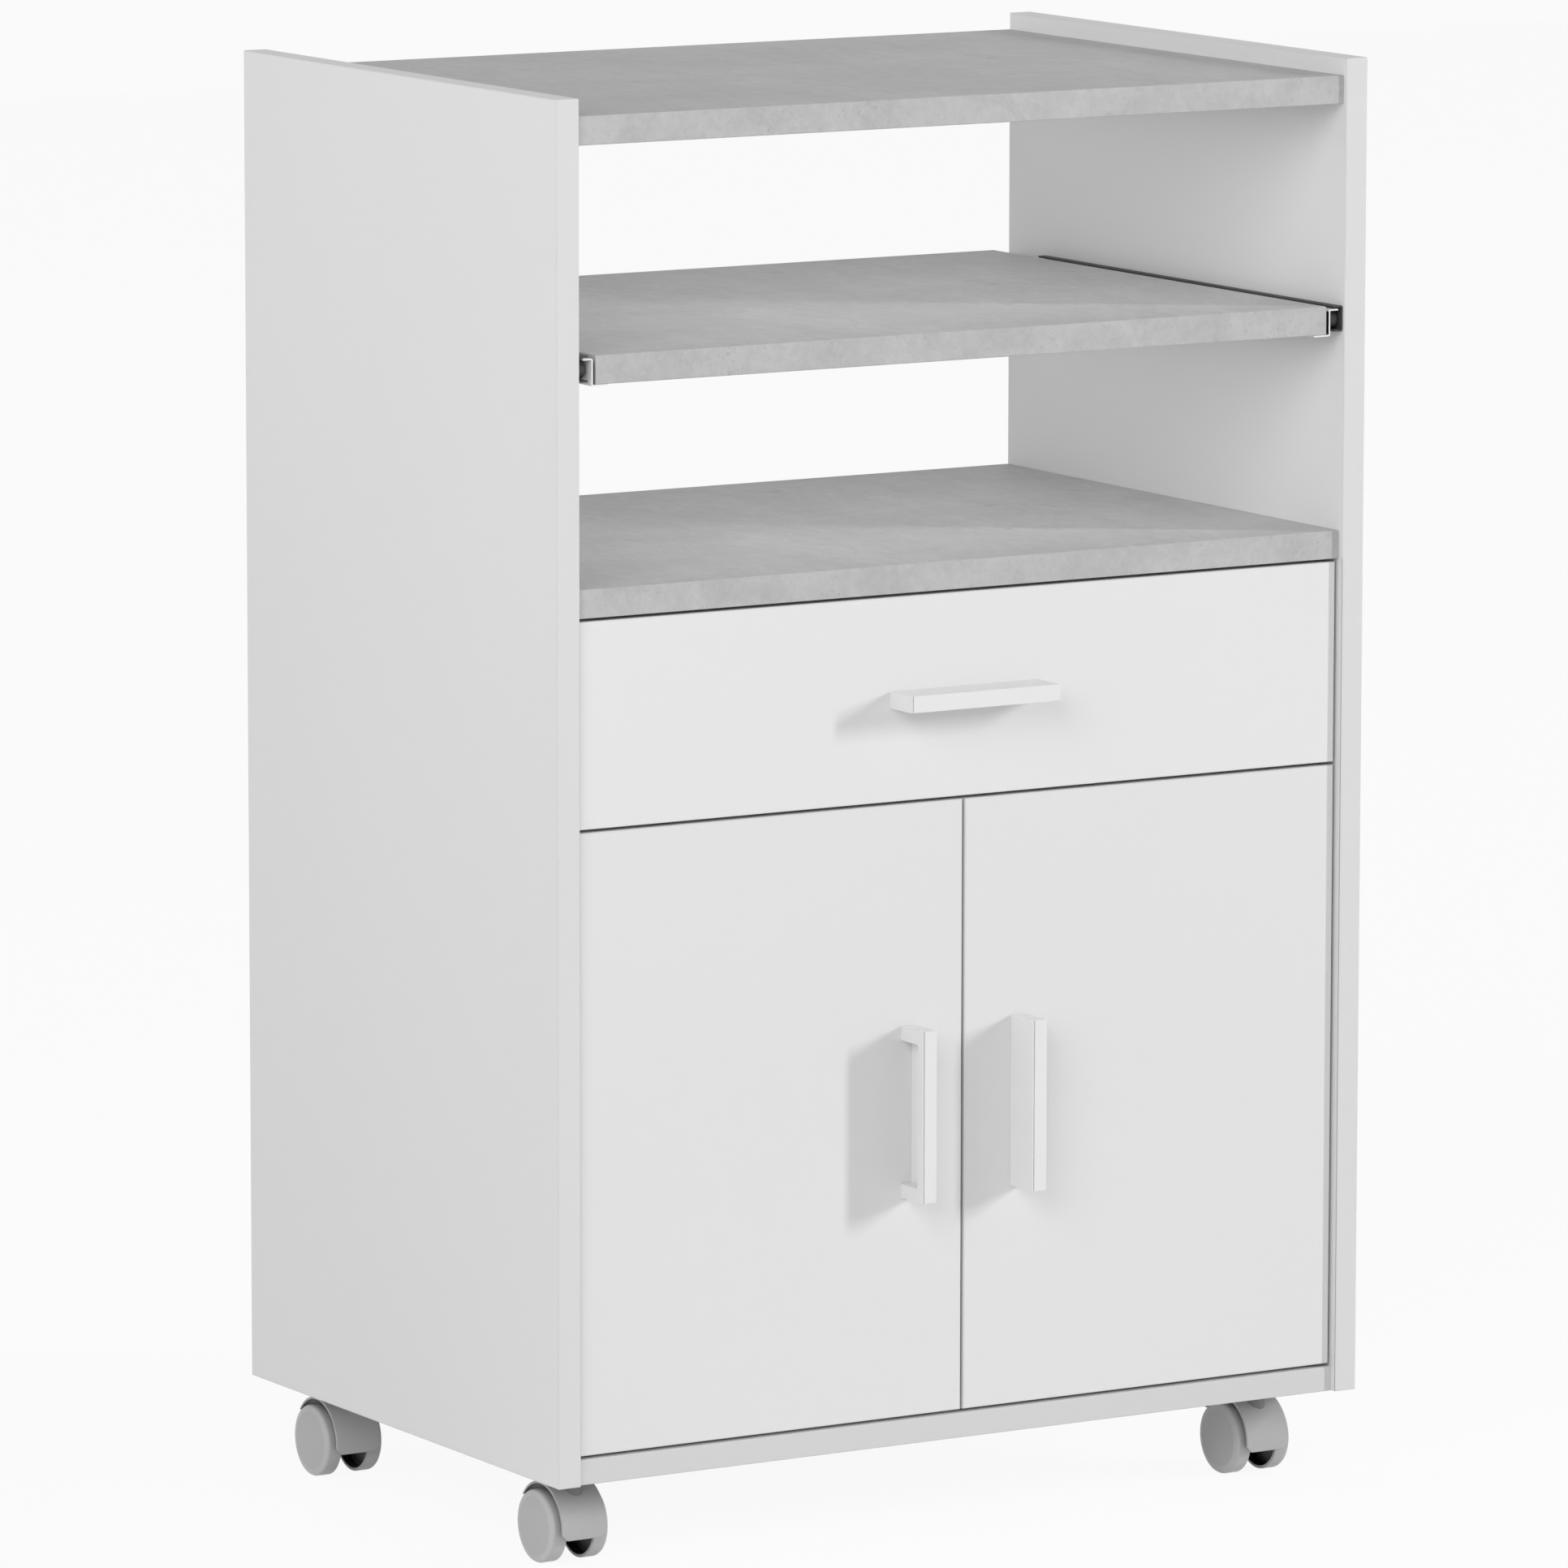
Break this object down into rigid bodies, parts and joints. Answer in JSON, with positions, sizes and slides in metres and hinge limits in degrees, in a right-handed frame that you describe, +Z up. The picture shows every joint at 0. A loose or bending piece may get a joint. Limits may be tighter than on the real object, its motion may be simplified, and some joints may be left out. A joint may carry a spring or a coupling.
{
  "type": "kitchen microwave cart",
  "caption": "White kitchen microwave cart on swivel casters, with stone-look top board, pull-out shelf and worktop over a drawer and a cupboard with doors.",
  "frame": {"origin": "on the floor under the middle of the cart, handles included", "axes": "+Z up, +Y to the back of the cart, +X to the right as seen from the front"},
  "size_m": [0.59, 0.421, 0.919],
  "materials": {
    "white_board": "satin melamine faced chipboard with matching edge band",
    "stone_board": "matt melamine faced chipboard, printed as pale grey concrete",
    "drawer_board": "plain white foil on chipboard",
    "thin_board": "hardboard, painted white on one side",
    "rail_sheet": "dark grey coated sheet steel",
    "runner_sheet": "white coated sheet steel",
    "hinge_metal": "nickel-plated pressed steel",
    "screw_metal": "zinc-plated steel",
    "fitting_metal": "cast zinc alloy",
    "white_handle": "satin white moulded plastic",
    "roller_plastic": "black nylon",
    "caster_plastic": "satin mid-grey moulded plastic",
    "wheel_plastic": "satin mid-grey moulded plastic",
    "caster_metal": "zinc-plated steel"
  },
  "bodies": {
    "carcass": {"left_side_panel": "white_board", "right_side_panel": "white_board", "top_board": "stone_board", "worktop": "stone_board", "bottom_board": "white_board", "front_rail": "white_board", "back_panel": "thin_board", "cam_locks": "fitting_metal", "cam_bolts": "fitting_metal", "carcass_screws": "screw_metal", "caster_plates": "caster_metal", "hinge_plates": "hinge_metal", "hinge_arms": "hinge_metal", "hinge_pins": "hinge_metal", "shelf_rail_left": "rail_sheet", "shelf_rail_right": "rail_sheet", "drawer_rail_left": "rail_sheet", "drawer_rail_right": "rail_sheet"},
    "pull_out_shelf": {"sliding_shelf": "stone_board", "shelf_runner_left": "runner_sheet", "shelf_runner_right": "runner_sheet", "shelf_screws": "screw_metal"},
    "drawer": {"drawer_front": "white_board", "drawer_side_left": "drawer_board", "drawer_side_right": "drawer_board", "drawer_back": "drawer_board", "drawer_bottom": "thin_board", "drawer_runner_left": "runner_sheet", "drawer_runner_right": "runner_sheet", "drawer_handle": "white_handle", "drawer_screws": "screw_metal", "drawer_cams": "fitting_metal"},
    "left_door_leaf": {"left_door": "white_board", "left_door_handle": "white_handle", "left_hinge_cups": "hinge_metal", "left_door_screws": "screw_metal"},
    "right_door_leaf": {"right_door": "white_board", "right_door_handle": "white_handle", "right_hinge_cups": "hinge_metal", "right_door_screws": "screw_metal"},
    "shelf_front_roller_pair": {"shelf_front_rollers": "roller_plastic"},
    "shelf_rear_roller_pair": {"shelf_rear_rollers": "roller_plastic"},
    "drawer_front_roller_pair": {"drawer_front_rollers": "roller_plastic"},
    "drawer_rear_roller_pair": {"drawer_rear_rollers": "roller_plastic"},
    "front_left_caster": {"front_left_caster_hood": "caster_plastic", "front_left_caster_axle": "caster_metal"},
    "front_left_caster_left_roll": {"front_left_caster_left_wheel": "wheel_plastic"},
    "front_left_caster_right_roll": {"front_left_caster_right_wheel": "wheel_plastic"},
    "front_right_caster": {"front_right_caster_hood": "caster_plastic", "front_right_caster_axle": "caster_metal"},
    "front_right_caster_left_roll": {"front_right_caster_left_wheel": "wheel_plastic"},
    "front_right_caster_right_roll": {"front_right_caster_right_wheel": "wheel_plastic"},
    "back_left_caster": {"back_left_caster_hood": "caster_plastic", "back_left_caster_axle": "caster_metal"},
    "back_left_caster_left_roll": {"back_left_caster_left_wheel": "wheel_plastic"},
    "back_left_caster_right_roll": {"back_left_caster_right_wheel": "wheel_plastic"},
    "back_right_caster": {"back_right_caster_hood": "caster_plastic", "back_right_caster_axle": "caster_metal"},
    "back_right_caster_left_roll": {"back_right_caster_left_wheel": "wheel_plastic"},
    "back_right_caster_right_roll": {"back_right_caster_right_wheel": "wheel_plastic"}
  },
  "joints": [
    {"name": "shelf_slide", "type": "slide", "parent": "carcass", "child": "pull_out_shelf", "axis": [0, -1, 0], "range_m": [0, 0.26]},
    {"name": "drawer_slide", "type": "slide", "parent": "carcass", "child": "drawer", "axis": [0, -1, 0], "range_m": [0, 0.26]},
    {"name": "shelf_front_roller_spin", "type": "hinge", "parent": "carcass", "child": "shelf_front_roller_pair", "pos_m": [0, -0.1785, 0.75315], "axis": [1, 0, 0], "range_deg": [0, 2500]},
    {"name": "shelf_rear_roller_spin", "type": "hinge", "parent": "pull_out_shelf", "child": "shelf_rear_roller_pair", "pos_m": [0, 0.1535, 0.754], "axis": [1, 0, 0], "range_deg": [0, 2200]},
    {"name": "drawer_front_roller_spin", "type": "hinge", "parent": "carcass", "child": "drawer_front_roller_pair", "pos_m": [0, -0.1595, 0.50015], "axis": [1, 0, 0], "range_deg": [0, 2500]},
    {"name": "drawer_rear_roller_spin", "type": "hinge", "parent": "drawer", "child": "drawer_rear_roller_pair", "pos_m": [0, 0.1725, 0.501], "axis": [1, 0, 0], "range_deg": [0, 2200]},
    {"name": "left_door_swing", "type": "hinge", "parent": "carcass", "child": "left_door_leaf", "pos_m": [-0.2545, -0.1765, 0.274], "axis": [0, 0, -1], "range_deg": [0, 95]},
    {"name": "right_door_swing", "type": "hinge", "parent": "carcass", "child": "right_door_leaf", "pos_m": [0.2545, -0.1765, 0.274], "axis": [0, 0, 1], "range_deg": [0, 95]},
    {"name": "front_left_caster_swivel", "type": "hinge", "parent": "carcass", "child": "front_left_caster", "pos_m": [-0.254, -0.1355, 0.04], "axis": [0, 0, 1], "continuous": true},
    {"name": "front_left_caster_left_wheel_spin", "type": "hinge", "parent": "front_left_caster", "child": "front_left_caster_left_roll", "pos_m": [-0.254, -0.1225, 0.023], "axis": [1, 0, 0], "continuous": true},
    {"name": "front_left_caster_right_wheel_spin", "type": "hinge", "parent": "front_left_caster", "child": "front_left_caster_right_roll", "pos_m": [-0.254, -0.1225, 0.023], "axis": [1, 0, 0], "continuous": true},
    {"name": "front_right_caster_swivel", "type": "hinge", "parent": "carcass", "child": "front_right_caster", "pos_m": [0.254, -0.1355, 0.04], "axis": [0, 0, 1], "continuous": true},
    {"name": "front_right_caster_left_wheel_spin", "type": "hinge", "parent": "front_right_caster", "child": "front_right_caster_left_roll", "pos_m": [0.254, -0.1225, 0.023], "axis": [1, 0, 0], "continuous": true},
    {"name": "front_right_caster_right_wheel_spin", "type": "hinge", "parent": "front_right_caster", "child": "front_right_caster_right_roll", "pos_m": [0.254, -0.1225, 0.023], "axis": [1, 0, 0], "continuous": true},
    {"name": "back_left_caster_swivel", "type": "hinge", "parent": "carcass", "child": "back_left_caster", "pos_m": [-0.254, 0.1565, 0.04], "axis": [0, 0, 1], "continuous": true},
    {"name": "back_left_caster_left_wheel_spin", "type": "hinge", "parent": "back_left_caster", "child": "back_left_caster_left_roll", "pos_m": [-0.254, 0.1695, 0.023], "axis": [1, 0, 0], "continuous": true},
    {"name": "back_left_caster_right_wheel_spin", "type": "hinge", "parent": "back_left_caster", "child": "back_left_caster_right_roll", "pos_m": [-0.254, 0.1695, 0.023], "axis": [1, 0, 0], "continuous": true},
    {"name": "back_right_caster_swivel", "type": "hinge", "parent": "carcass", "child": "back_right_caster", "pos_m": [0.254, 0.1565, 0.04], "axis": [0, 0, 1], "continuous": true},
    {"name": "back_right_caster_left_wheel_spin", "type": "hinge", "parent": "back_right_caster", "child": "back_right_caster_left_roll", "pos_m": [0.254, 0.1695, 0.023], "axis": [1, 0, 0], "continuous": true},
    {"name": "back_right_caster_right_wheel_spin", "type": "hinge", "parent": "back_right_caster", "child": "back_right_caster_right_roll", "pos_m": [0.254, 0.1695, 0.023], "axis": [1, 0, 0], "continuous": true}
  ],
  "couplings": [
    {"joint": "shelf_front_roller_spin", "follows": "shelf_slide", "rad_per_m": 166.67},
    {"joint": "shelf_rear_roller_spin", "follows": "shelf_slide", "rad_per_m": 144.93},
    {"joint": "drawer_front_roller_spin", "follows": "drawer_slide", "rad_per_m": 166.67},
    {"joint": "drawer_rear_roller_spin", "follows": "drawer_slide", "rad_per_m": 144.93}
  ]
}
